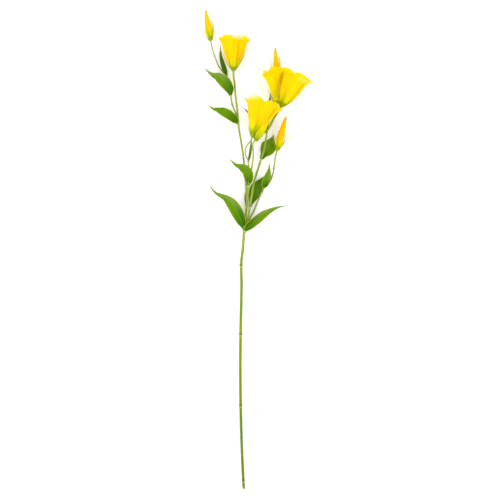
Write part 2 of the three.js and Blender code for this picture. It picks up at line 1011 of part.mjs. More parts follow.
function placedBud(bud) {
  const foot = point(bud.foot);
  const axis = point(bud.tip).sub(foot);
  const sized = { ...bud, length: axis.length() };
  const group = new THREE.Group();
  group.position.copy(foot);
  group.quaternion.setFromUnitVectors(new THREE.Vector3(0, 1, 0), axis.normalize());
  group.add(meshOf(`${bud.name}_bud_petals`, budSolid(sized), "petal"));
  group.add(meshOf(`${bud.name}_bud_calyx`, budCalyx(sized), "sepal"));
  return group;
}

function footAndAxis(group) {
  return { foot: group.position, axis: new THREE.Vector3(0, 1, 0).applyQuaternion(group.quaternion) };
}

const spray = new THREE.Group();
const carried = new Map();
for (const bloom of BLOOMS) {
  const group = placedBloom(bloom);
  carried.set(`${bloom.name}_bloom`, footAndAxis(group));
  spray.add(group);
}
for (const bud of BUDS) {
  const group = placedBud(bud);
  carried.set(`${bud.name}_bud`, footAndAxis(group));
  spray.add(group);
}

// Each shoot is cut back where it meets an earlier stem, and each leaf where it meets any stem.
const grownStems = [];
for (const stem of [MAIN_STEM, ...SHOOTS].map((made) => withEnd(made, carried))) {
  const whole = stemSolid(stem, 0);
  const cut = grownStems.reduce((solid, earlier) => solid.subtract(earlier), whole);
  spray.add(meshOf(stem.name, largestBody(cut), "stem"));
  grownStems.push(stemSolid(stem, GAP));
}
for (const leaf of LEAVES) {
  const cut = grownStems.reduce((solid, stem) => solid.subtract(stem), leafSolid(leaf));
  spray.add(meshOf(leaf.name, largestBody(cut), "leaf"));
}

// The spray's lowest point is on the table, and the middle of its box is over the origin.
spray.updateMatrixWorld(true);
const box = new THREE.Box3().setFromObject(spray, true);
const middle = box.getCenter(new THREE.Vector3());
spray.position.set(-middle.x, -middle.y, -box.min.z);

export default spray;
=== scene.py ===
"""A cut lisianthus spray with yellow blooms, lying on a pale floor and seen from straight above.

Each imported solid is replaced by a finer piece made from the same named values. Lengths in the tables are
millimetres in the spray's own frame: X across the spray, Y from the cut end to the tips, Z up.
"""

import math

import bpy
import numpy as np
from mathutils import Matrix, Vector, noise


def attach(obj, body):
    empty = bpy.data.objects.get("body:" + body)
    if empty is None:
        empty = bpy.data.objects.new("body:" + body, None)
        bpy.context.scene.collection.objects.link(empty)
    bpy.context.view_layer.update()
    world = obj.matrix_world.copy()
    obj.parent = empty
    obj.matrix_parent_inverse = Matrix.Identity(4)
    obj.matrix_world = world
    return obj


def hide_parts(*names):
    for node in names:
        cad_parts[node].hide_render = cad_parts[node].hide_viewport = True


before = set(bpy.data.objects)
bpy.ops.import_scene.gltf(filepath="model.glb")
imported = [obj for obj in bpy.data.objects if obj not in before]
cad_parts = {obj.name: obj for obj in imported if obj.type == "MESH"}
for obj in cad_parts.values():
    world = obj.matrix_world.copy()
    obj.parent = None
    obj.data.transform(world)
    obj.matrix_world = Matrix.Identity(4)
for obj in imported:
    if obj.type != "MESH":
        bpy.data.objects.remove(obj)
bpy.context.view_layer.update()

# ---- Driving dimensions ----
MM = 0.001
UP = Vector((0, 0, 1))
AXIS = Vector((0, 1, 0))  # of a bloom or a bud, in its own frame
TURN = 2 * np.pi

STEM_SIDES = 18
STEM_STEP = 5  # between two cross-sections
STEM_LEAST_STEPS = 12
STEM_RIBS = 5
STEM_RIB_HEIGHT = 0.03  # share of the radius
CAD_STEM_SIDES = 6  # sides of the solid stem
STALK_STRAIGHT = 6  # length of a stalk's straight end
STALK_GAP = 0.3  # how far it ends short of its flower's foot
CUT_HOLLOW = 0.5  # how far the pith lies below the rim of the cut face

# Rings on a stem. Swelling and groove are shares of the radius, span and offset of the half length.
RING_HALF_LENGTH = 2.5
RING_SWELLING = 0.28
RING_GROOVE = 0.1
RING_SECTIONS = 17  # cross-sections over a ring
RING_SPAN = 2  # how far they reach
GROOVE_NARROWING = 2.5  # how many times narrower than its ring the groove is
COLLAR_NARROWING = 2  # the same for its pale collar
COLLAR_OFFSET = 0.8  # how far below its ring it lies

# Leaves. Places across a leaf go from 0 at the midrib to 1 at the edge.
LEAF_ROWS = 46
LEAF_COLUMNS = 24
LEAF_MIDDLE_THICKNESS = 0.8
LEAF_EDGE_THICKNESS = 0.35
LEAF_THINNING = (0, 0.35)  # where the thickness falls
FOLD_ROUNDING = 0.01  # how round the fold along the midrib is
LEAF_RIPPLES = [(1, 1, 9, 2), (0.25, 3, 31, 3)]  # (share of the wave, power, count, slant)
LEAF_QUILTING = 0.22  # how far a leaf swells between its veins
LEAF_VEINS = 3  # pairs of veins beside the midrib
VEIN_CROWDING = 0.85  # under 1, the veins stand closer towards the midrib
VEIN_WIDTH = 0.16
VEINS_FROM = 0.1
MIDRIB_GROOVE = 0.35
MIDRIB_WIDTH = 0.07
FULL_RELIEF = 6  # half width from which a leaf's veins and midrib have their full depth
LEAF_WOBBLE = 0.03  # how uneven a leaf's edge is, as a share of its half width
LEAF_WOBBLES = 9
SHADE_AND_SHEEN_EDGE = (-0.1, 0.25)  # where the half with painted shade and sheen sets in

PETALS = 5
PETAL_ROWS = 44
PETAL_COLUMNS = 40
PETAL_BASE_THICKNESS = 0.6
PETAL_RIM_THICKNESS = 0.3
PETAL_HALF_ANGLE = 50  # degrees round the axis, from a petal's middle to its edge
PETAL_FOOT_SHARE = 0.9  # how much of that angle its foot takes up
PETAL_ROUND = 2.4  # how squarely its lobe ends
SPIRAL_ROOT = 0.45  # how far one edge stands out, and the other in, at the foot
SPIRAL_RIM = 1.5  # the same at the rim
RUFFLE = 1.8  # height of the broad ruffles
RUFFLES = 7
RUFFLE_POWER = 5  # how close to the rim they keep
FINE_RUFFLE = 1
FINE_RUFFLES = 19
FINE_RUFFLE_POWER = 8
RIM_NIBBLE = 0.042  # how uneven a petal's edge is, as a share of its length
RIM_NIBBLES = 7
RIM_NIBBLE_POWER = 4
CURL = 0.5  # how far an open rim curls down, as a share of how far it stands out
PETAL_CREASE = 0.35  # depth of the crease along a petal's middle
CREASE_WIDTH = 0.05
# how strongly the crease along a petal's middle is darkened with orange painted shade
CREASE_SHADE = 0.8
PETAL_SWELL = 0.7  # height of the soft uneven swellings in a petal
SWELLS = 2.2
EDGE_BAND = (0.8, 1)  # where across a petal its edge of orange painted shade sets in
HIGHLIGHT_HALF_ANGLE = 34  # degrees from the middle of a pale painted highlight to its edge
INSIDE_PAINTED_LIGHT = 0.75  # how far a lighter, greener yellow is painted inside a bloom, as painted light against the shade there

# Where each feature of a petal sets in and is full, from 0 at its foot to 1 at its rim.
GROWS = dict(spiral=(0, 0.5), slim=(0, 0.25), swell=(0.1, 0.4), crease=(0.15, 0.5), edge=(0.1, 0.5))
GROWS |= dict(open=(0.2, 1), curl=(0.7, 1), pale=(0.77, 0.93), bud_tip=(0.6, 1))

BUD_ROWS = 70
BUD_SIDES = 90
BUD_TWIST = 150  # degrees that the furled edges turn, from foot to tip
BUD_FURROW = 0.86  # radius in the furrow beside a furled edge, as a share of that at the edge
BUD_LAP = 0.88  # share of its fifth of the round that a petal rises over, before its edge drops
# where across a bud petal its edge of orange painted shade sets in
BUD_EDGE_BAND = (0.7, 1)
BUD_TIP_TINT = 0.6
BUD_PETAL_START = 2.4

SEPAL_ROWS = 26
SEPAL_SECTION = [(-1, 0), (-0.45, -0.12), (0.45, -0.12), (1, 0), (0.5, 0.55), (0, 1), (-0.5, 0.55)]
SEPAL_THICKNESS = 0.9
SEPAL_TIP = 0.45  # width of a sepal's tip, as a share of its foot
SEPAL_TAPER = 0.9  # under 1, a sepal narrows sooner
SEPAL_SWAY = 0.5
SEPAL_STAGGER = 0.3  # how much further out each second sepal stands, at each station
SEPAL_SLIM = (6, 16)  # heights between which the sepals follow how slim the bell is
SEPAL_LIFT = (-0.9, 0.3)  # where a bud's sepals start to spread and fully do, from -1 below to 1 on top
BLOOM_SEPAL_WIDTH = 2.4
BUD_SEPAL_WIDTH = 2.2

SIDES = dict(throat=60, cup=60, bud_cup=50, disc=30, ovary=24, filament=8, anther=10, stigma=14)
LIMB_ROWS = 14
OVARY_ROWS = 30
POLE_RADIUS = 0.02  # the least radius of a turned solid
LIMB_LEAST = 0.05  # the least half thickness of a limb
THROAT_RIB = 0.04
CUP_RIB = 0.05
STIGMA_FLATNESS = 0.5
SHARP = 55  # degrees between two faces, from which their edge is sharp
BUD_SHARP = 80

# The bell of an open flower of size 1: height above its foot, radius, and how far the rim turns out.
BELL = [(6.5, 5.1, 0), (12, 8.8, 0), (22, 13.2, 0), (34, 16.4, 0.2)]
BELL += [(44, 17.6, 1.8), (51, 18.2, 5), (57, 18.8, 8.4)]
# Along its sepals: height, and distance from the bell, but at their root from the axis.
SEPAL_STANDOFF = [(3.4, 4), (12, 1.9), (22, 3), (31, 4.8), (39, 7.6)]

# Parts of a flower as (radius, height above its foot).
THROAT = [(0, 2.4), (1.7, 2.4), (4.3, 4.6), (6.6, 8.4), (5.6, 8.8), (3.2, 5.2), (1.2, 3.6), (0, 3.6)]
BLOOM_CUP = [(0, 0), (1.7, 0), (3.2, 1), (4.9, 4), (4.3, 4.2), (2, 1.8), (0, 1.8)]
STAMEN_DISC = [(1.5, 4.2), (2.7, 5.2), (2.7, 6), (1.5, 6), (1.5, 4.2)]
OVARY = [(0, 4), (1.1, 4), (1.2, 6.4), (2.4, 10), (2.2, 15), (0.8, 19), (0.7, 24), (0, 24)]
BUD_CUP = [(0, 0), (1.4, 0), (3.4, 1.2), (4.8, 4.4), (4.2, 4.6), (2.4, 1.8), (0, 1.8)]

# Limbs as (distance from the axis, height, half thickness).
FILAMENT = [(2.1, 5.6, 0.5), (3.5, 10, 0.4), (3.9, 16, 0.36), (4.3, 21.5, 0.3)]
ANTHER = [(4.2, 19.8, 0.25), (4.4, 20.8, 0.7), (4.7, 23, 0.8), (4.8, 25.2, 0.6), (4.85, 26, 0.2)]
ANTHER_SPREAD = 0.65  # half the distance between an anther's two lobes
STIGMA_LOBE = [(0.1, 22.5, 0.5), (1.5, 25.5, 1.5), (2.2, 28, 1.5), (2.3, 29.6, 0.6)]

# foot, tilt, lean, turn, size, slim, flare, open, notch and sepal are those of the solids. Then come where
# round the axis a pale painted highlight lies on the rim, in degrees, and how strong it is; how far a
# lighter, greener yellow is painted on as painted light against shade; and crumple: how strongly the rim is
# ruffled.
BLOOMS = {
    "left": dict(
        foot=(-17.7, 711.5, 20.6), tilt=1, lean=8, turn=54, size=1.06, slim=0.95, flare=0.5,
        open=(0, 3.5, 1, 2.5, 0), notch=(0.12, 0.12, 0.14, 0.08, 0.1), sepal=0.95, pale=(-20, 1), painted_light=0,
        crumple=0.8,
    ),
    "middle": dict(
        foot=(13.8, 598, 65), tilt=20, lean=-8, turn=16, size=1.25, slim=0.88, flare=0.4,
        open=(5, 3, 3, 8.5, 4), notch=(0.1, 0.36, 0.08, 0.14, 0.14), sepal=0.67, pale=(164, 0.6), painted_light=0,
        crumple=1.1,
    ),
    "right": dict(
        foot=(62.6, 650, 40.5), tilt=29, lean=9, turn=5, size=1.13, slim=0.92, flare=0.7,
        open=(-2, 0, 1, 1, 0), notch=(0.12, 0.14, 0.14, 0.2, 0.08), sepal=0.85, pale=(60, 0.2), painted_light=0.1,
        crumple=1.2,
    ),
    "rear": dict(
        foot=(56.5, 655.5, 13), tilt=-3, lean=20, turn=35, size=1.1, slim=0.6, flare=0.7,
        open=(-3, -3, 1, 5, -2), notch=(0.16, 0.16, 0.16, 0.2, 0.1), sepal=0.55, pale=(250, 0.2),
        painted_light=0.85, crumple=1.7,
    ),
}

# foot, tip, radius, spread and sepal are those of the solids. ripe: under 1, green reaches further up.
BUDS = {
    "left": dict(
        foot=(-56.5, 763.6, 9.5), tip=(-65.4, 816, 8), radius=6.8, spread=5, sepal=1.2, ripe=0.9,
    ),
    "rear": dict(
        foot=(57, 698.5, 8), tip=(53.2, 752.2, 7.6), radius=5.9, spread=1, sepal=1.3, ripe=1,
    ),
    "front": dict(
        foot=(18.6, 592.5, 69), tip=(43.6, 628.5, 95), radius=6.2, spread=0, sepal=1, ripe=0.45,
    ),
    "low": dict(
        foot=(56.4, 576.5, 18), tip=(71.4, 634.4, 15), radius=7.2, spread=9, sepal=1.15, ripe=1.3,
    ),
}
# Sepals: (radius, height) at the root, then (distance from the bud, height, share of the spread).
BUD_SEPAL_ROOT = (4, 3.6)
BUD_SEPAL = [(1, 12, 0.2), (1.6, 20, 0.6), (1.6, 29, 1)]
# (share of the length, share of the radius)
BUD_OUTLINE = [
    (0, 0.28), (0.06, 0.58), (0.14, 0.84), (0.28, 1), (0.53, 0.81), (0.76, 0.55), (0.93, 0.33), (1, 0.24),
]

# radii: (share of the length, radius). rings: shares of the length. end: what the stem carries.
STEMS = {
    "main_stem": dict(
        route=[
            (0, 0, 2.6), (-1, 15, 2.6), (-4, 84.5, 3.6), (-5.5, 144, 4.6), (-6, 220.5, 6.4),
            (-5.5, 270, 7.6), (-4, 348, 9.4), (-4.5, 384, 10.2), (-2, 407.5, 10.8), (0.5, 440, 12),
            (2, 457, 13), (4.5, 482.5, 14), (5, 498, 14.6), (2.5, 528.5, 15.6), (0.5, 553, 16.4),
            (-4, 588, 17), (-8.5, 615, 17.5), (-9.5, 627, 17.8), (-11, 645, 18.2), (-14, 669, 18.8),
            (-15.8, 692, 19.4),
        ],
        radii=((0, 2.15), (0.5, 2.4), (0.6, 2.3), (0.68, 1.75), (1, 1.5)),
        rings=(0.02, 0.2, 0.37, 0.535, 0.62, 0.88), end="left_bloom",
    ),
    "left_side_shoot": dict(
        route=[
            (-9.5, 627, 17.8), (-14, 641, 17), (-19.5, 654, 16), (-22.5, 670.5, 14.5), (-25.5, 690, 13),
            (-29, 704.5, 12), (-35, 710.5, 12), (-42.5, 720, 11.5), (-49.5, 737, 11), (-54, 751, 10.5),
        ],
        radii=((0, 1.4), (1, 1)), rings=(0.2, 0.34, 0.6), end="left_bud",
    ),
    "right_shoot": dict(
        route=[
            (1, 441, 12.2), (7, 462, 15.5), (10.5, 482.5, 17.5), (12, 492.5, 18), (16, 516.5, 18.5),
            (20.5, 534, 19), (29.5, 562.5, 20), (35, 581, 19.5), (38, 600, 18.5), (39.8, 610, 18.5),
            (45.5, 621, 23), (52, 633, 30),
        ],
        radii=((0, 2), (1, 1.5)), rings=(0.19, 0.56, 0.79), end="right_bloom",
    ),
    "rear_bloom_stalk": dict(
        route=[(39.8, 610, 18.5), (46.5, 621, 16), (53, 637, 12.5)], radii=((0, 1.1), (1, 1.2)), rings=(),
        end="rear_bloom",
    ),
    "rear_bud_stalk": dict(
        route=[(39.8, 610, 18.5), (46, 621, 9.5), (54, 640, 5), (60, 664, 4.2), (60, 684, 4.6)],
        radii=((0, 1), (1, 0.95)), rings=(0.4,), end="rear_bud",
    ),
    "low_bud_shoot": dict(
        route=[
            (1, 436, 11.8), (10, 460.5, 9.5), (16, 472.5, 10), (23, 489, 11.5), (31.5, 508, 13),
            (34, 513, 13.4), (40, 517.5, 14), (46, 527, 15), (49.5, 537.5, 16), (51, 547, 17),
            (53, 562, 18),
        ],
        radii=((0, 1.5), (1, 1.2)), rings=(0.5, 0.8), end="low_bud",
    ),
    "centre_shoot": dict(
        route=[
            (4.5, 482.5, 14), (7, 498, 18.5), (7.6, 518, 23), (9.5, 530, 27), (13, 545, 36), (16, 569, 52),
        ],
        radii=((0, 1.4), (1, 1.15)), rings=(0.3,), end="front_bud",
    ),
    "middle_bloom_stalk": dict(
        route=[
            (7.6, 518, 23), (7.6, 540, 30), (7.4, 559, 38.5), (3.4, 567, 44.5), (2.2, 575, 50.5),
            (4.4, 583.5, 57),
        ],
        radii=((0, 1.05), (1, 1.15)), rings=(0.45,), end="middle_bloom",
    ),
}

# (share of the length, share of the half width)
LEAF_EDGE = [(0, 0.3), (0.12, 0.78), (0.3, 1), (0.48, 0.86), (0.64, 0.5), (0.8, 0.24), (1, 0.06)]

# route, width, blunt, roll, fold and wave are those of the solids. Then the half, right (1) or left (-1) of
# the midrib, that gets painted shade and sheen, and how much; and how much painted shade lies over the
# whole leaf.
LEAVES = {
    "leaf_lower_left": dict(
        route=[
            (0.3, 445, 12.2), (-8.3, 466.8, 19), (-19.7, 485.5, 20), (-30.4, 495.7, 16),
            (-39.8, 500.7, 11.5), (-46.5, 503.8, 8), (-52.5, 509.5, 5), (-58, 517, 3),
        ],
        width=21, blunt=1, roll=(-8, -14), fold=14, wave=1, shade_and_sheen=1, painted_shade=0,
    ),
    "leaf_lower_right": dict(
        route=[
            (1, 440, 12), (11.2, 451, 18.5), (23.6, 461.4, 20.5), (34.5, 469.7, 18), (47.1, 476.3, 13),
            (58.3, 480.6, 8), (73.3, 483.8, 3),
        ],
        width=17, blunt=1, roll=(24, 30), fold=16, wave=0.9, shade_and_sheen=-0.8, painted_shade=0,
    ),
    "leaf_shoot_front": dict(
        route=[
            (7.6, 519, 21.5), (8.4, 531, 31), (5.4, 541.5, 35), (-3.2, 548, 34), (-13.8, 552.5, 29.5),
            (-24, 562, 24),
        ],
        width=17.5, blunt=1.1, roll=(-10, -10), fold=14, wave=0.8, shade_and_sheen=0.4, painted_shade=0,
    ),
    "leaf_shoot_narrow": dict(
        route=[(7.2, 556, 37.3), (9.8, 573, 39.5), (11.8, 587, 40), (13, 601, 39)], width=10, blunt=1.2,
        roll=(62, 62), fold=10, wave=0.3, shade_and_sheen=-1, painted_shade=0.3,
    ),
    "leaf_behind_stems": dict(
        route=[(10, 481.5, 17.2), (14.2, 497, 9), (19.8, 510.5, 6), (26.2, 522.5, 5), (34.5, 533, 5)],
        width=24, blunt=1.7, roll=(50, 0), fold=8, wave=0.8, shade_and_sheen=0.5, painted_shade=0.6,
    ),
    "leaf_behind_narrow": dict(
        route=[(4.6, 478, 13.8), (3.3, 490.5, 8.5), (2.9, 504.5, 6), (6.1, 521.5, 5)], width=6, blunt=1,
        roll=(-65, -60), fold=10, wave=0.3, shade_and_sheen=1, painted_shade=0.6,
    ),
    "leaf_low_bud": dict(
        route=[(34, 513.4, 13.4), (37, 524, 20), (41.5, 538, 22), (43.5, 555.5, 19)], width=14, blunt=1.1,
        roll=(4, 24), fold=22, wave=0.5, shade_and_sheen=0.7, painted_shade=0,
    ),
    "leaf_right_broad": dict(
        route=[(29.7, 563, 20), (35, 572, 12.5), (41, 582, 8), (46.5, 592.5, 6), (51, 603, 5)], width=26,
        blunt=1.8, roll=(0, 0), fold=10, wave=0.8, shade_and_sheen=-0.4, painted_shade=0,
    ),
    "leaf_upper_rear": dict(
        route=[(39.6, 609, 18.5), (27.5, 620, 13), (12.8, 635.5, 12), (-0.8, 650, 14)], width=14, blunt=1.2,
        roll=(35, 35), fold=16, wave=0.4, shade_and_sheen=0.1, painted_shade=0.7,
    ),
    "leaf_upper_hidden": dict(
        route=[(39.2, 606, 18.4), (36.5, 622, 10), (40, 642, 6), (43.5, 658, 4.5), (45, 674, 4)], width=14,
        blunt=1.3, roll=(-10, 0), fold=8, wave=0.4, shade_and_sheen=0.1, painted_shade=0.7,
    ),
    "leaf_left_lower": dict(
        route=[
            (-9.4, 623, 17.8), (-18.5, 631.5, 22), (-30.5, 640, 21), (-43, 645.5, 15), (-53, 648.5, 9.5),
            (-60.5, 655, 5),
        ],
        width=17, blunt=1.1, roll=(18, 10), fold=18, wave=0.7, shade_and_sheen=0.15, painted_shade=0,
    ),
    "leaf_left_upper": dict(
        route=[
            (-22.6, 671, 14.5), (-25, 683, 20), (-33, 694.5, 20), (-43, 702, 16), (-54, 706.5, 11),
            (-66.5, 716.5, 5),
        ],
        width=20, blunt=1.15, roll=(-14, -8), fold=16, wave=0.8, shade_and_sheen=0.6, painted_shade=0,
    ),
    "leaf_left_top": dict(
        route=[(-29, 704, 12), (-35.8, 719, 15), (-39.8, 736, 13), (-40.3, 757, 9)], width=15, blunt=1,
        roll=(52, 60), fold=12, wave=0.4, shade_and_sheen=-0.5, painted_shade=0.4,
    ),
}


# ---- Small helpers ----
def lerp(a, b, t):
    return a + (b - a) * t


def smoothstep(x, low, high):
    t = np.clip((x - low) / (high - low), 0, 1)
    return t * t * (3 - 2 * t)


def grown(feature, place):
    """How far a feature of a petal has grown at a place from its foot to its rim."""
    return smoothstep(place, *GROWS[feature])


def linear(hex_colour):
    """An sRGB colour such as "ffdc00" as linear red, green, blue and alpha."""
    values = [int(hex_colour[k : k + 2], 16) / 255 for k in (0, 2, 4)]
    return [v / 12.92 if v <= 0.04045 else ((v + 0.055) / 1.055) ** 2.4 for v in values] + [1]


def spray_origin():
    """Where the spray's own origin lies in the frame: the main stem's cut face is at its route's start."""
    corners = {tuple(round(c, 6) for c in v.co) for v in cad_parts["main_stem"].data.vertices}
    foot = sorted(corners, key=lambda corner: corner[1])[:CAD_STEM_SIDES]
    middle = sum((Vector(corner) for corner in foot), Vector()) / CAD_STEM_SIDES
    return middle - Vector(STEMS["main_stem"]["route"][0]) * MM


ORIGIN = spray_origin()


def directions(angle):
    """Outwards and sideways at an angle about a flower's axis."""
    return np.array([math.cos(angle), 0, math.sin(angle)]), np.array([-math.sin(angle), 0, math.cos(angle)])


def around(sides):
    return np.linspace(0, TURN, sides, endpoint=False)


def hermite(a, b, start, end, t):
    """The cubic that runs from a to b, with the slopes start and end."""
    cubic = 2 * a - 2 * b + start + end
    square = 3 * b - 3 * a - 2 * start - end
    return cubic * t**3 + square * t**2 + start * t + a


def add_object(name, data, place=(0, 0, 0)):
    made = bpy.data.objects.new(name, data)
    made.location = place
    bpy.context.scene.collection.objects.link(made)
    return made


class Route:
    """A smooth curve through points, measured by its length: 0 at its start and 1 at its end."""

    SAMPLES = 400
    TANGENT_STEP = 1e-3

    def __init__(self, points):
        self.points = [Vector(p) for p in points]
        self.steps = np.linspace(0, 1, self.SAMPLES + 1)
        places = np.array([self.spline(t) for t in self.steps])
        lengths = np.linalg.norm(np.diff(places, axis=0), axis=1)
        self.reached = np.concatenate([[0], np.cumsum(lengths)])
        self.length = self.reached[-1]

    def spline(self, t):
        """The centripetal Catmull-Rom curve, as the solids use."""
        p = self.points
        last = len(p) - 1
        k = min(int(t * last), last - 1)
        weight = t * last - k
        before = p[k - 1] if k > 0 else p[0] * 2 - p[1]
        after = p[k + 2] if k + 2 <= last else p[last] * 2 - p[last - 1]
        x0, x1, x2, x3 = knots = [before, p[k], p[k + 1], after]
        d0, d1, d2 = (max((b - a).length, 1e-6) ** 0.5 for a, b in zip(knots, knots[1:]))
        start = ((x1 - x0) / d0 - (x2 - x0) / (d0 + d1) + (x2 - x1) / d1) * d1
        end = ((x2 - x1) / d1 - (x3 - x1) / (d1 + d2) + (x3 - x2) / d2) * d1
        return hermite(x1, x2, start, end, weight)

    def at(self, share):
        return self.spline(float(np.interp(share * self.length, self.reached, self.steps)))

    def tangent(self, share):
        after = self.at(min(share + self.TANGENT_STEP, 1))
        before = self.at(max(share - self.TANGENT_STEP, 0))
        return (after - before).normalized()

    def spread(self, shares, sideways, upwards, roll=(0, 0)):
        """Rows of points, sideways and upwards from the curve at shares of its length.

        Sideways is level, turned about the curve by roll degrees.
        """
        rows = []
        for share, asides, rises in zip(shares, sideways, upwards):
            tangent = self.tangent(share)
            side = tangent.cross(UP).normalized()
            turn = Matrix.Rotation(math.radians(lerp(*roll, share)), 3, tangent)
            up = turn @ side.cross(tangent).normalized()
            rows.append(np.array(self.at(share)) + np.outer(asides, turn @ side) + np.outer(rises, up))
        return np.array(rows)


class Shape:
    """Vertices and faces for one mesh, with numbers at each vertex for its material."""

    def __init__(self):
        self.points = []
        self.faces = []
        self.values = {}
        self.count = 0

    def add(self, points, faces, **values):
        points = np.asarray(points, float).reshape(-1, 3)
        self.faces += [tuple(self.count + k for k in face) for face in faces]
        for name in self.values | values:
            filled = self.values.setdefault(name, [np.zeros(self.count)] if self.count else [])
            filled.append(np.broadcast_to(np.asarray(values.get(name, 0), float).reshape(-1), len(points)))
        self.points.append(points)
        self.count += len(points)

    def blade(self, grid, thickness, **values):
        """A closed blade about a grid of points. values are grids, or numbers for its two faces."""
        rows, columns = grid.shape[:2]
        half = grid_normals(grid) * np.broadcast_to(thickness, (rows, columns))[..., None] / 2
        size = rows * columns
        index = np.arange(size).reshape(rows, columns)
        corners = [index[:-1, :-1], index[:-1, 1:], index[1:, 1:], index[1:, :-1]]
        quads = np.stack(corners, -1).reshape(-1, 4)
        loop = [*index[0, :-1], *index[:-1, -1], *index[-1, :0:-1], *index[:0:-1, 0]]
        walls = [(a, a + size, b + size, b) for a, b in zip(loop, loop[1:] + loop[:1])]
        faces = [tuple(q) for q in quads] + [tuple(q[::-1] + size) for q in quads] + walls
        both = {name: np.broadcast_to(v, (2, rows, columns)).reshape(-1) for name, v in values.items()}
        self.add(np.stack([grid + half, grid - half]), faces, **both)

    def loft(self, rings, hollow=0, **values):
        """Rings of points joined in order, closed by a fan at each end. values go along the rings."""
        rings = np.asarray(rings, float)
        count, sides = rings.shape[:2]
        index = np.arange(count * sides).reshape(count, sides)
        beside = np.roll(index, -1, axis=1)
        quads = np.stack([index[:-1], beside[:-1], beside[1:], index[1:]], -1).reshape(-1, 4)
        first, last = count * sides, count * sides + 1
        faces = [tuple(q) for q in quads]
        faces += [(first, b, a) for a, b in zip(index[0], beside[0])]
        faces += [(last, a, b) for a, b in zip(index[-1], beside[-1])]
        inward = rings[1].mean(0) - rings[0].mean(0)
        start = rings[0].mean(0) + inward / max(np.linalg.norm(inward), 1e-9) * hollow
        points = np.concatenate([rings.reshape(-1, 3), [start, rings[-1].mean(0)]])
        spread = {}
        for name, v in values.items():
            v = np.asarray(v, float)
            grid = np.broadcast_to(v[:, None] if v.ndim == 1 else v, (count, sides))
            spread[name] = np.concatenate([grid.reshape(-1), [grid[0].mean(), grid[-1].mean()]])
        self.add(points, faces, **spread)

    def lathe(self, profile, sides, rib=0, **values):
        """A turned solid about +Y from (radius, height) pairs, with five soft ribs."""
        angles = around(sides)
        ribs = 1 + rib * np.cos(PETALS * (angles - np.pi / PETALS))
        rings = []
        for radius, height in profile:
            reach = max(radius, POLE_RADIUS) * ribs
            ring = [reach * np.cos(angles), np.full(sides, height), -reach * np.sin(angles)]
            rings.append(np.stack(ring, -1))
        self.loft(rings, **values)

    def piece(self, name, node, slot, material, sharp=SHARP):
        """Makes the mesh in the frame, in metres, which rides on the one body and replaces its node."""
        mesh = bpy.data.meshes.new(name)
        points = np.concatenate(self.points) * MM + np.array(ORIGIN)
        mesh.from_pydata(points.tolist(), [], self.faces)
        for key, parts in self.values.items():
            attribute = mesh.attributes.new(key, "FLOAT", "POINT")
            attribute.data.foreach_set("value", np.concatenate(parts).astype(np.float32))
        mesh.update()
        mesh.shade_smooth()
        mesh.set_sharp_from_angle(angle=math.radians(sharp))
        mesh.materials.append(material)
        made = add_object(name, mesh)
        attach(made, "root")
        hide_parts(node)

    def flower_piece(self, flower, name, node, *settings):
        """Sets a part of a bloom or a bud on its stalk and makes its piece."""
        matrix = np.array(CARRIED[flower])
        self.points = [p @ matrix[:3, :3].T + matrix[:3, 3] for p in self.points]
        self.piece(f"{flower}_{name}", f"{flower}_{node}", *settings)


def grid_normals(grid):
    normals = np.cross(np.gradient(grid, axis=1), np.gradient(grid, axis=0))
    return normals / np.maximum(np.linalg.norm(normals, axis=2, keepdims=True), 1e-12)


def smooth_path(points, count):
    """More points along a smooth curve through a few."""
    points = np.asarray(points, float)
    reached = np.concatenate([[0], np.cumsum(np.linalg.norm(np.diff(points[:, :2], axis=0), axis=1))])
    slopes = np.gradient(points, reached, axis=0)
    made = []
    for s in np.linspace(0, reached[-1], count):
        k = min(np.searchsorted(reached, s, "right") - 1, len(points) - 2)
        step = reached[k + 1] - reached[k]
        start, end = step * slopes[k], step * slopes[k + 1]
        made.append(hermite(points[k], points[k + 1], start, end, (s - reached[k]) / step))
    return np.array(made)


def read_table(table, share):
    """The value at a share, on a smooth curve through a table of (share, value) pairs."""
    k = next(k for k, (at, _) in enumerate(table) if at >= share and at > 0) - 1
    weight = (share - table[k][0]) / (table[k + 1][0] - table[k][0])
    last = len(table) - 1
    h0, h1, h2, h3 = (table[min(max(i, 0), last)][1] for i in (k - 1, k, k + 1, k + 2))
    return hermite(h1, h2, (h2 - h0) / 2, (h3 - h1) / 2, weight)


def wander(*place):
    """Smooth noise from -1 to 1 that is the same each run."""
    return noise.noise(Vector(place))


# ---- Materials ----
PAINTS = {
    # Petals: the orange stands mostly for painted shade in folds and along edges and lightly tints the
    # veins, the lemon yellow for painted light over shaded parts, the near white for a painted highlight.
    "petal": dict(
        yellow="ffcf00", orange="ffbe00", green="95aa00", lime="e4e400", painted_light="fff000", pale="ffeaa8",
    ),
    "bud_petal": dict(
        yellow="ffcc00", orange="ffa400", green="91a700", lime="dcde00", painted_light="fff000", pale="ffeaa8",
    ),
    # Leaves: the darker greens at the foot and the darkest green stand for painted shade, the greyish light
    # green for a painted sheen.
    "leaf": dict(
        bright="669200", painted_shade_foot="466e10", painted_sheen_tip="849a48", fibre="366400", mottle="8cb41c",
        foot="2a6200", margin="b0aa14", vein="7c9c28", midrib="90a83a", painted_shade="3c6804",
    ),
    "stem": dict(
        lower="788d12", upper="92a036", foot="5c7200", fibre="566c0c", blotch="8d8f3a",
        collar="c3cd86", ring="4c5c14", pith="a89a58",
    ),
    "sepal": dict(cup="9cb400", tip="bac218", grain="a2b20a"),
    "stamen": dict(main="e8c93a", grain="d9a81c"),
    "pistil": dict(main="b9c95a", grain="9db03c"),
    "studio_floor": dict(main="fdfdfd", grain="ffffff"),
}


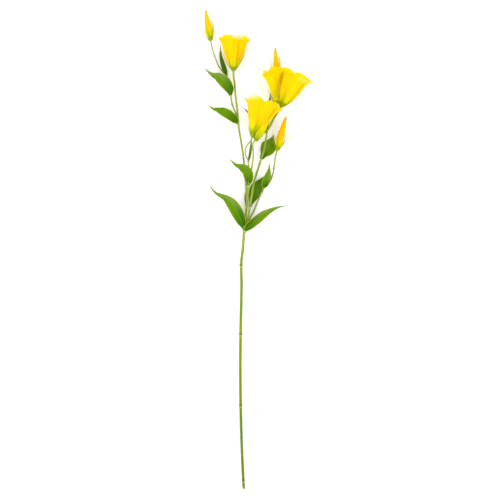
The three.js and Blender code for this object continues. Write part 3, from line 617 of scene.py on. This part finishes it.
class Look:
    """One procedural material, built node by node."""

    def __init__(self, name):
        self.paints = {key: linear(colour) for key, colour in PAINTS[name].items()}
        self.material = bpy.data.materials.new(name)
        self.material.use_nodes = True
        self.tree = self.material.node_tree
        self.tree.nodes.clear()

    def node(self, kind, inputs, output=0, **settings):
        """Adds a node. An input is another node's output, a number or the name of a paint."""
        made = self.tree.nodes.new(kind)
        for key, value in settings.items():
            setattr(made, key, value)
        for key, value in inputs.items():
            if isinstance(value, bpy.types.NodeSocket):
                self.tree.links.new(value, made.inputs[key])
            else:
                made.inputs[key].default_value = self.paints[value] if isinstance(value, str) else value
        return made.outputs[output]

    def read(self, name):
        """A number that each vertex carries."""
        return self.node("ShaderNodeAttribute", {}, "Fac", attribute_name=name)

    def place(self):
        return self.node("ShaderNodeTexCoord", {}, "Object")

    def math(self, operation, a, b=0):
        return self.node("ShaderNodeMath", {0: a, 1: b}, operation=operation)

    def times(self, a, b):
        return self.math("MULTIPLY", a, b)

    def stirred(self, value, cloud, amount):
        """A value that a noise about one half moves up and down."""
        return self.math("ADD", value, self.times(self.math("SUBTRACT", cloud, 0.5), amount))

    def ramp(self, value, low, high, start=0, end=1):
        """Rises smoothly from start to end as value goes from low to high."""
        inputs = {"Value": value, "From Min": low, "From Max": high, "To Min": start, "To Max": end}
        return self.node("ShaderNodeMapRange", inputs, interpolation_type="SMOOTHSTEP")

    def mix(self, share, a, b):
        return self.node("ShaderNodeMix", {0: share, 6: a, 7: b}, 2, data_type="RGBA")

    def over(self, colour, paint, mask, strength=None):
        """A colour with a paint laid over it where the mask is 1, at most as strongly as strength."""
        share = mask if strength is None else self.times(mask, strength)
        return self.mix(share, colour, paint)

    def layered(self, colour, *layers):
        """A colour with paints laid over it in turn."""
        for layer in layers:
            colour = self.over(colour, *layer)
        return colour

    def noise(self, vector, scale, detail=3):
        return self.node("ShaderNodeTexNoise", {"Vector": vector, "Scale": scale, "Detail": detail})

    def streaks(self, count, seed, scale, detail):
        """A noise drawn out along a petal or a leaf, with so many streaks across it."""
        across = self.times(self.read("across"), count)
        inputs = {0: across, 1: self.read("along"), 2: self.read(seed)}
        return self.noise(self.node("ShaderNodeCombineXYZ", inputs), scale, detail)

    def bump(self, height, distance, strength=1, normal=None):
        inputs = {"Height": height, "Distance": distance * MM, "Strength": strength}
        if normal is not None:
            inputs["Normal"] = normal
        return self.node("ShaderNodeBump", inputs)

    def finish(self, colour, normal, through=0, **values):
        """The surface, in one colour: Principled, and the share through of it Translucent."""
        inputs = {"Base Color": colour, "Normal": normal}
        inputs |= {key.replace("_", " "): value for key, value in values.items()}
        surface = self.node("ShaderNodeBsdfPrincipled", inputs)
        if through:
            thin = self.node("ShaderNodeBsdfTranslucent", {"Color": colour, "Normal": normal})
            surface = self.node("ShaderNodeMixShader", {0: through, 1: surface, 2: thin})
        output = self.tree.nodes.new("ShaderNodeOutputMaterial")
        self.tree.links.new(surface, output.inputs["Surface"])
        return self.material


def petal_look(name):
    """Yellow, with a green and lime foot, orange painted shade in the folds and along the edges,
    lemon painted light over shaded parts and a pale painted highlight.
    """
    look = Look(name)
    streak = look.streaks(4, "petal", 2.2, 4)
    vein = look.streaks(26, "petal", 1.6, 2)
    foot = look.stirred(look.read("along"), streak, 0.35)
    lower = look.mix(look.ramp(foot, -0.04, 0.2), "green", "lime")
    colour = look.over(lower, "yellow", look.ramp(foot, 0.14, 0.46))
    rays = look.times(look.ramp(vein, 0.48, 0.62), look.ramp(foot, 0.5, 0.15))
    colour = look.over(colour, "green", rays, 0.6)
    # Orange painted shade along the edges, in streaky folds and in a petal's crease; on buds the same layer
    # also gives their orange tips.
    edge = look.times(look.read("edge"), look.ramp(streak, 0.35, 0.65, 0.2, 0.7))
    folds = look.times(look.ramp(streak, 0.54, 0.7), 0.5)
    fold = look.math("MAXIMUM", look.math("MAXIMUM", edge, folds), look.read("fold"))
    colour = look.layered(
        colour,
        ("orange", look.math("MINIMUM", fold, 1)),
        ("orange", look.ramp(vein, 0.5, 0.7), 0.15),
        # painted light: a lighter, greener yellow over shaded blooms and inside the bells
        ("painted_light", look.read("painted_light")),
        # a pale painted highlight on the rims
        ("pale", look.read("pale")),
    )
    normal = look.bump(vein, 0.12, 0.5)
    return look.finish(colour, normal, through=0.2, Roughness=0.65, Specular_IOR_Level=0.05)


def leaf_look():
    """One half bright green and the other with a greyish painted sheen; painted shade at the stem and over
    leaves that lie in shade; fine veins and a yellow margin.
    """
    look = Look("leaf")
    along = look.read("along")
    half = look.math("ABSOLUTE", look.read("across"))
    mottle = look.noise(look.place(), 260, 4)
    fibre = look.streaks(18, "shade_and_sheen", 3, 3)
    # On one half of the midrib: painted shade at the foot and a greyish painted sheen towards the tip.
    shade_and_sheen = look.stirred(look.read("shade_and_sheen"), mottle, 0.4)
    shade_and_sheen_colour = look.mix(look.ramp(along, 0.15, 0.6), "painted_shade_foot", "painted_sheen_tip")
    colour = look.mix(look.ramp(shade_and_sheen, 0.1, 0.8), "bright", shade_and_sheen_colour)
    margin = look.times(look.ramp(half, 0.8, 0.95), look.ramp(along, 0.7, 0.1, 0.2, 0.9))
    colour = look.layered(
        colour,
        ("fibre", look.ramp(fibre, 0.45, 0.6), 0.6),
        ("mottle", look.ramp(mottle, 0.5, 0.68), 0.2),
        # painted shade towards the stem
        ("foot", look.ramp(along, 0.5, 0.03, 0, 0.8)),
        ("margin", margin),
        ("vein", look.read("vein"), 0.35),
        ("midrib", look.ramp(half, 0.07, 0.02, 0, 0.6)),
        # painted shade over leaves that lie in shade
        ("painted_shade", look.read("painted_shade")),
    )
    normal = look.bump(fibre, 0.15, 0.35, look.bump(mottle, 0.2, 0.3))
    return look.finish(colour, normal, through=0.12, Roughness=0.55, Specular_IOR_Level=0.04)


def stem_look():
    """Yellow-green at the blooms and deeper at the foot, with fine fibres and a pale brown cut face."""
    look = Look("stem")
    place = look.place()
    y = look.node("ShaderNodeSeparateXYZ", {0: place}, 1)
    drawn_out = look.node("ShaderNodeVectorMath", {0: place, 1: (900, 40, 900)}, operation="MULTIPLY")
    fibre = look.noise(drawn_out, 1)
    blotch = look.noise(place, 60, 3)
    colour = look.mix(look.ramp(y, -0.12, 0.08), "lower", "upper")
    colour = look.layered(
        colour,
        ("foot", look.ramp(y, -0.42, -0.1, 1, 0)),
        ("fibre", look.ramp(fibre, 0.42, 0.62), 0.5),
        ("blotch", look.ramp(blotch, 0.5, 0.75), 0.2),
        ("collar", look.read("collar"), 0.6),
        ("ring", look.read("ring")),
        ("pith", look.read("cut")),
    )
    return look.finish(colour, look.bump(fibre, 0.15, 0.4), Roughness=0.55, Specular_IOR_Level=0.05)


def sepal_look():
    """Yellowish green, deeper in the cup and paler towards the tips, with a fine grain."""
    look = Look("sepal")
    grain = look.noise(look.place(), 500, 3)
    rise = look.ramp(look.read("along"), 0, 0.45)
    colour = look.mix(rise, "cup", "tip")
    colour = look.over(colour, "grain", look.ramp(grain, 0.45, 0.7), 0.4)
    normal = look.bump(grain, 0.1, 0.4)
    return look.finish(colour, normal, through=0.25, Roughness=0.6, Specular_IOR_Level=0.1)


def powder_look(name, grain_scale):
    """A finely grained colour, as of pollen."""
    look = Look(name)
    grain = look.noise(look.place(), grain_scale, 4)
    colour = look.mix(look.ramp(grain, 0.35, 0.65), "main", "grain")
    return look.finish(colour, look.bump(grain, 0.15, 0.6), Roughness=0.7)


def floor_look():
    look = Look("studio_floor")
    cloud = look.noise(look.place(), 3, 2)
    colour = look.mix(cloud, "main", "grain")
    return look.finish(colour, look.bump(cloud, 0.01), Roughness=0.9)


PETAL = petal_look("petal")
BUD_PETAL = petal_look("bud_petal")
LEAF = leaf_look()
STEM = stem_look()
SEPAL = sepal_look()
STAMEN = powder_look("stamen", 900)
PISTIL = powder_look("pistil", 500)


# ---- Stems ----
def bloom_matrix(bloom):
    made = Matrix.Translation(bloom["foot"])
    for axis, degrees in (("Z", -bloom["tilt"]), ("X", bloom["lean"]), ("Y", bloom["turn"])):
        made = made @ Matrix.Rotation(math.radians(degrees), 4, axis)
    return made


def bud_matrix(bud):
    along = Vector(bud["tip"]) - Vector(bud["foot"])
    turn = AXIS.rotation_difference(along).to_matrix().to_4x4()
    return Matrix.Translation(bud["foot"]) @ turn


CARRIED = {f"{name}_bloom": bloom_matrix(bloom) for name, bloom in BLOOMS.items()}
CARRIED |= {f"{name}_bud": bud_matrix(bud) for name, bud in BUDS.items()}


def stem_route(stem):
    """The stalk runs straight into the foot of what it carries."""
    matrix = CARRIED[stem["end"]]
    foot, axis = matrix.translation, matrix.to_3x3() @ AXIS
    return Route([*stem["route"], foot - axis * STALK_STRAIGHT, foot - axis * STALK_GAP])


def stem_shares(stem, route):
    """Even steps along the stem, and close ones over each ring."""
    steps = max(STEM_LEAST_STEPS, round(route.length / STEM_STEP))
    shares = list(np.linspace(0, 1, steps + 1))
    for ring in stem["rings"]:
        over = np.linspace(-RING_SPAN, RING_SPAN, RING_SECTIONS)
        shares += list(ring + over * RING_HALF_LENGTH / route.length)
    return np.unique(np.clip(shares, 0, 1).round(6))


def ring_marks(stem, route, shares, offset=0, narrowing=1):
    """1 at each ring, or at an offset below it, and 0 away from it."""
    marks = np.zeros(len(shares))
    for ring in stem["rings"]:
        off = (shares - ring) * route.length / RING_HALF_LENGTH
        marks += np.exp(-(((off + offset) * narrowing) ** 2))
    return marks


def make_stem(name, stem):
    route = stem_route(stem)
    shares = stem_shares(stem, route)
    groove = ring_marks(stem, route, shares, narrowing=GROOVE_NARROWING)
    swelling = RING_SWELLING * ring_marks(stem, route, shares)
    bare = np.array([read_table(stem["radii"], share) for share in shares])
    radius = bare * (1 + swelling - RING_GROOVE * groove)
    angles = around(STEM_SIDES)
    reach = radius[:, None] * (1 + STEM_RIB_HEIGHT * np.cos(STEM_RIBS * angles))
    collar = ring_marks(stem, route, shares, COLLAR_OFFSET, COLLAR_NARROWING)
    cut = np.zeros(len(shares))
    cut[0] = name == "main_stem"
    shape = Shape()
    rings = route.spread(shares, -reach * np.cos(angles), reach * np.sin(angles))
    shape.loft(rings, hollow=CUT_HOLLOW, ring=groove, collar=collar, cut=cut)
    shape.piece(name + "_skin", name, "stem", STEM)


# ---- Leaves ----
def vein_wave(out):
    """0 on the veins and 1 midway between two."""
    return np.abs(np.sin(np.pi * ((LEAF_VEINS + 0.5) * out**VEIN_CROWDING)))


def leaf_height(leaf, along, across, half):
    """How far a leaf's fold, ripples, quilting and midrib stand up from its flat middle surface."""
    out = np.abs(across)
    envelope = np.sin(np.pi * along)
    depth = np.minimum(half / FULL_RELIEF, 1)
    height = np.sqrt(out**2 + FOLD_ROUNDING) * half * math.tan(math.radians(leaf["fold"]))
    for share, power, count, slant in LEAF_RIPPLES:
        wave = np.sin(count * along + slant * across)
        height = height + share * leaf["wave"] * out**power * wave * envelope
    height = height + LEAF_QUILTING * vein_wave(out) * depth * envelope
    return height - MIDRIB_GROOVE * np.exp(-((out / MIDRIB_WIDTH) ** 2)) * depth


def make_leaf(name, leaf):
    shares = np.linspace(0, 1, LEAF_ROWS)
    along, across = shares[:, None], np.linspace(1, -1, LEAF_COLUMNS + 1)[None, :]
    out = np.abs(across)
    edge = np.array([read_table(LEAF_EDGE, s ** leaf["blunt"]) for s in shares])[:, None]
    half = leaf["width"] / 2 * edge
    wobble = np.array([wander(LEAF_WOBBLES * s, leaf["width"], 0) for s in shares])[:, None]
    sideways = across * half * (1 + LEAF_WOBBLE * wobble)
    height = leaf_height(leaf, along, across, half)
    grid = Route(leaf["route"]).spread(shares, sideways, height, leaf["roll"])
    # painted shade over the whole leaf where it lies in shade
    values = dict(along=along, across=across, painted_shade=leaf["painted_shade"])
    # one half gets painted shade and sheen
    shade_and_sheen_side = across * np.sign(leaf["shade_and_sheen"])
    values["shade_and_sheen"] = abs(leaf["shade_and_sheen"]) * smoothstep(shade_and_sheen_side, *SHADE_AND_SHEEN_EDGE)
    values["vein"] = np.exp(-((vein_wave(out) / VEIN_WIDTH) ** 2)) * (out > VEINS_FROM)
    thickness = lerp(LEAF_MIDDLE_THICKNESS, LEAF_EDGE_THICKNESS, smoothstep(out, *LEAF_THINNING))
    shape = Shape()
    shape.blade(grid, thickness, **values)
    shape.piece(name + "_blade", name, "leaf", LEAF)


# ---- Blooms ----
BELL_ROUTE = Route(BELL)
FIFTHS = [TURN * (k + 0.5) / PETALS for k in range(PETALS)]  # the angles between the petals


def open_at(bloom, angle):
    """How far the rim stands out at an angle about the axis: smooth between the middles of the petals."""
    place = PETALS * angle / TURN + PETALS
    petal = np.floor(place).astype(int)
    amounts = np.array(bloom["open"])
    return lerp(amounts[petal % PETALS], amounts[(petal + 1) % PETALS], smoothstep(place - petal, 0, 1))


class Petal:
    """The middle surface of one petal: rows from the throat to the rim, columns from edge to edge."""

    def __init__(self, bloom, number):
        self.bloom = bloom
        self.number = number
        self.seed = 10 * number + 100 * bloom["size"]
        self.along = np.linspace(0, 1, PETAL_ROWS + 1)[:, None]
        self.across = np.linspace(1, -1, PETAL_COLUMNS + 1)[None, :]
        half_angle = math.radians(PETAL_HALF_ANGLE) * lerp(PETAL_FOOT_SHARE, 1, self.along)
        self.angle = TURN * number / PETALS + self.across * half_angle
        self.reach = self.lobe()
        middle = np.exp(-((self.across / CREASE_WIDTH) ** 2))
        self.crease = PETAL_CREASE * middle * grown("crease", self.along)

    def lobe(self):
        """How far up the bell each point lies: the lobe's end is round, and its edge is uneven."""
        notches = self.bloom["notch"]
        notch = np.where(self.across > 0, notches[self.number], notches[self.number - 1])
        uneven = np.array([wander(RIM_NIBBLES * a, self.seed, 0) for a in self.across[0]])
        nibble = RIM_NIBBLE * self.bloom["crumple"] * uneven * self.along**RIM_NIBBLE_POWER
        return self.along * (1 - notch * np.abs(self.across) ** PETAL_ROUND + nibble)

    def ruffles(self):
        broad = np.sin(RUFFLES * self.angle + self.number)
        fine = np.sin(FINE_RUFFLES * self.angle + 2 * self.number + self.seed)
        ruffle = RUFFLE * self.reach**RUFFLE_POWER * broad
        ruffle += FINE_RUFFLE * self.reach**FINE_RUFFLE_POWER * fine
        return ruffle * self.bloom["crumple"]

    def swellings(self):
        across, along = SWELLS * self.across[0], SWELLS * self.along[:, 0]
        rows = [[wander(a, s, self.seed) for a in across] for s in along]
        return PETAL_SWELL * np.array(rows) * grown("swell", self.along)

    def grid(self):
        bell = np.array([[BELL_ROUTE.spline(min(max(r, 0), 1)) for r in row] for row in self.reach])
        height, radius, turned_out = np.moveaxis(bell, -1, 0)
        slim = lerp(1, self.bloom["slim"], grown("slim", self.along))
        spiral = self.across * lerp(SPIRAL_ROOT, SPIRAL_RIM, grown("spiral", self.along))
        opening = open_at(self.bloom, self.angle)
        opened = opening * grown("open", self.reach)
        curl = np.maximum(opening, 0) * CURL * grown("curl", self.reach)
        out = self.bloom["size"] * (radius * slim + turned_out * self.bloom["flare"])
        out = out + spiral + self.ruffles() + self.swellings() - self.crease + opened
        level = self.bloom["size"] * height - np.maximum(opened, 0) - curl
        return np.stack([out * np.cos(self.angle), level, out * np.sin(self.angle)], -1)

    def values(self):
        """Numbers for the material, at each point or for each face."""
        # A pale painted highlight near the rim, for light shining through the thin petal.
        middle, highlight_strength = self.bloom["pale"]
        aside = np.abs((np.degrees(self.angle) - middle + 180) % 360 - 180)
        patch = smoothstep(aside, HIGHLIGHT_HALF_ANGLE, HIGHLIGHT_HALF_ANGLE / 2)
        return dict(
            along=self.along,
            across=self.across,
            petal=self.number + self.seed,
            # orange painted shade along the edges
            edge=smoothstep(np.abs(self.across), *EDGE_BAND) * grown("edge", self.along),
            # orange painted shade in the crease
            fold=CREASE_SHADE * self.crease / PETAL_CREASE,
            # the pale painted highlight
            pale=highlight_strength * grown("pale", self.reach) * patch,
            # painted light: a lighter, greener yellow on the outer face of shaded blooms and on the inner
            # face of all
            painted_light=np.reshape((self.bloom["painted_light"], INSIDE_PAINTED_LIGHT), (2, 1, 1)),
        )


def make_corolla(flower, bloom):
    shape = Shape()
    shape.lathe(np.array(THROAT) * bloom["size"], SIDES["throat"], THROAT_RIB, along=0)
    for number in range(PETALS):
        petal = Petal(bloom, number)
        thickness = lerp(PETAL_BASE_THICKNESS, PETAL_RIM_THICKNESS, petal.along)
        shape.blade(petal.grid(), thickness, **petal.values())
    shape.flower_piece(flower, "corolla", "petals", "petal", PETAL)


def add_sepal(shape, path, angle, width):
    """A sepal follows (radius, height) points at one angle about the axis, and tapers to a hair."""
    points = smooth_path(path, SEPAL_ROWS)
    shares = np.linspace(0, 1, SEPAL_ROWS)
    out, across = directions(angle)
    section = np.array(SEPAL_SECTION)
    rings = []
    for (radius, height), share in zip(points, shares):
        taper = lerp(1, SEPAL_TIP, share**SEPAL_TAPER)
        sway = SEPAL_SWAY * share * wander(3 * share, angle, path[-1][1])
        centre = out * radius + np.array([0, height, 0]) + across * sway
        sideways = section[:, :1] * across * (width / 2) * taper
        rings.append(centre + sideways + section[:, 1:] * out * SEPAL_THICKNESS * taper)
    shape.loft(rings, along=shares)


def bell_radius(bloom, height):
    heights, radii, _ = zip(*BELL)
    slim = lerp(1, bloom["slim"], float(smoothstep(height, *SEPAL_SLIM)))
    return float(np.interp(height, heights, radii)) * slim


def make_bloom_calyx(flower, bloom):
    shape = Shape()
    size = bloom["size"]
    shape.lathe(np.array(BLOOM_CUP) * size, SIDES["cup"], CUP_RIB, along=0)
    for k, angle in enumerate(FIFTHS):
        root_height, root_radius = SEPAL_STANDOFF[0]
        path = [(size * root_radius, size * root_height)]
        for i, (height, standoff) in enumerate(SEPAL_STANDOFF[1:], 1):
            reach = height * bloom["sepal"]
            stagger = SEPAL_STAGGER * i * (k % 2)
            path.append((size * (bell_radius(bloom, reach) + standoff) + stagger, size * reach))
        add_sepal(shape, path, angle, BLOOM_SEPAL_WIDTH)
    shape.flower_piece(flower, "sepals", "calyx", "sepal", SEPAL)


def add_limb(shape, part, size, angle, sides, flatness=1, sideways=0):
    """A limb from (distance from the axis, height, half thickness), at one angle about the axis."""
    out, across = directions(angle)
    turns = around(sides)[:, None]
    rings = []
    for distance, height, half in smooth_path(np.array(part) * size, LIMB_ROWS):
        half = max(half, LIMB_LEAST)
        centre = out * distance + np.array([0, height, 0]) + across * sideways
        rings.append(centre - flatness * half * np.cos(turns) * out + half * np.sin(turns) * across)
    shape.loft(rings)


def make_stamens(flower, bloom):
    shape = Shape()
    size = bloom["size"]
    shape.lathe(np.array(STAMEN_DISC) * size, SIDES["disc"])
    for angle in FIFTHS:
        add_limb(shape, FILAMENT, size, angle, SIDES["filament"])
        for side in (-1, 1):
            add_limb(shape, ANTHER, size, angle, SIDES["anther"], sideways=side * ANTHER_SPREAD)
    shape.flower_piece(flower, "anthers", "stamens", "stamen", STAMEN)


def make_pistil(flower, bloom):
    shape = Shape()
    size = bloom["size"]
    shape.lathe(smooth_path(np.array(OVARY) * size, OVARY_ROWS), SIDES["ovary"])
    for angle in (0, math.pi):
        add_limb(shape, STIGMA_LOBE, size, angle, SIDES["stigma"], STIGMA_FLATNESS)
    shape.flower_piece(flower, "stigma", "pistil", "pistil", PISTIL)


# ---- Buds ----
def make_bud_petals(flower, bud):
    """Five petals furled round each other: each one's edge stands out over the next."""
    length = (Vector(bud["tip"]) - Vector(bud["foot"])).length
    share = np.linspace(0, 1, BUD_ROWS)[:, None]
    angles = -around(BUD_SIDES)[None, :]
    turned = ((angles - math.radians(BUD_TWIST) * share) * PETALS / TURN) % 1
    lap = np.where(turned < BUD_LAP, turned / BUD_LAP, (1 - turned) / (1 - BUD_LAP))
    outline = np.array([[read_table(BUD_OUTLINE, s)] for s in share[:, 0]])
    radius = bud["radius"] * outline * lerp(BUD_FURROW, 1, lap)
    height = np.broadcast_to(lerp(BUD_PETAL_START, length, share), radius.shape)
    ripe = min(bud["ripe"], 1)
    values = dict(along=share * bud["ripe"], across=lap * 2 - 1, petal=bud["radius"])
    # orange painted shade along the furled edges, where one petal laps over the next
    values["edge"] = ripe * smoothstep(lap, *BUD_EDGE_BAND) * grown("edge", share)
    values["fold"] = BUD_TIP_TINT * ripe * grown("bud_tip", share)
    shape = Shape()
    shape.loft(np.stack([radius * np.cos(angles), height, radius * np.sin(angles)], -1), **values)
    shape.flower_piece(flower, "furled", "petals", "petal", BUD_PETAL, BUD_SHARP)


def make_bud_calyx(flower, bud):
    shape = Shape()
    shape.lathe(BUD_CUP, SIDES["bud_cup"], CUP_RIB, along=0)
    for angle in FIFTHS:
        spread = bud["spread"] * float(smoothstep(math.sin(angle), *SEPAL_LIFT))
        path = [BUD_SEPAL_ROOT]
        for off, height, share in BUD_SEPAL:
            path.append((bud["radius"] + off + share * spread, bud["sepal"] * height))
        add_sepal(shape, path, angle, BUD_SEPAL_WIDTH)
    shape.flower_piece(flower, "sepals", "calyx", "sepal", SEPAL)


# ---- The spray ----
for stem_name, stem_values in STEMS.items():
    make_stem(stem_name, stem_values)
for leaf_name, leaf_values in LEAVES.items():
    make_leaf(leaf_name, leaf_values)
for bloom_name, bloom_values in BLOOMS.items():
    for make in (make_corolla, make_bloom_calyx, make_stamens, make_pistil):
        make(bloom_name + "_bloom", bloom_values)
for bud_name, bud_values in BUDS.items():
    make_bud_petals(bud_name + "_bud", bud_values)
    make_bud_calyx(bud_name + "_bud", bud_values)


# ---- Floor, light and camera ----
FLOOR_SIZE = 6
LAMPS = {"key": ((-1.3, 1, 2.4), 1.6, 6), "fill": ((1.6, -0.6, 2.2), 2, 2)}  # place, size and power
LAMP_TARGET = (0.03, 0.15, 0)
SKY_STRENGTH = 1.5
CAMERA_DISTANCE = 8
VIEW_WIDTH = 0.85  # metres across the picture, at the height of the spray
VIEW_MIDDLE = (10.37, 407.66, 25)  # at the middle of the picture, in the spray's own frame
SENSOR = 36


def add_floor():
    bpy.ops.mesh.primitive_plane_add(size=FLOOR_SIZE, location=(0, 0, 0))
    floor = bpy.context.object
    floor.name = "floor"
    floor.data.materials.append(floor_look())


def add_lamp(name, place, size, power):
    lamp = bpy.data.lights.new(name, "AREA")
    lamp.size = size
    lamp.energy = power
    made = add_object(name, lamp, place)
    made.rotation_euler = (Vector(LAMP_TARGET) - Vector(place)).to_track_quat("-Z", "Y").to_euler()
    made.visible_camera = False


def add_world():
    world = bpy.data.worlds.new("studio")
    world.use_nodes = True
    background = world.node_tree.nodes["Background"]
    background.inputs["Color"].default_value = (1, 1, 1, 1)
    background.inputs["Strength"].default_value = SKY_STRENGTH
    bpy.context.scene.world = world


def add_camera():
    camera = bpy.data.cameras.new("camera")
    camera.sensor_width = SENSOR
    camera.lens = SENSOR * CAMERA_DISTANCE / VIEW_WIDTH
    camera.clip_end = 2 * CAMERA_DISTANCE
    place = Vector(VIEW_MIDDLE) * MM + ORIGIN + UP * CAMERA_DISTANCE
    bpy.context.scene.camera = add_object("camera", camera, place)


add_floor()
for lamp_name, lamp_values in LAMPS.items():
    add_lamp(lamp_name, *lamp_values)
add_world()
add_camera()
bpy.context.scene.view_settings.view_transform = "Standard"
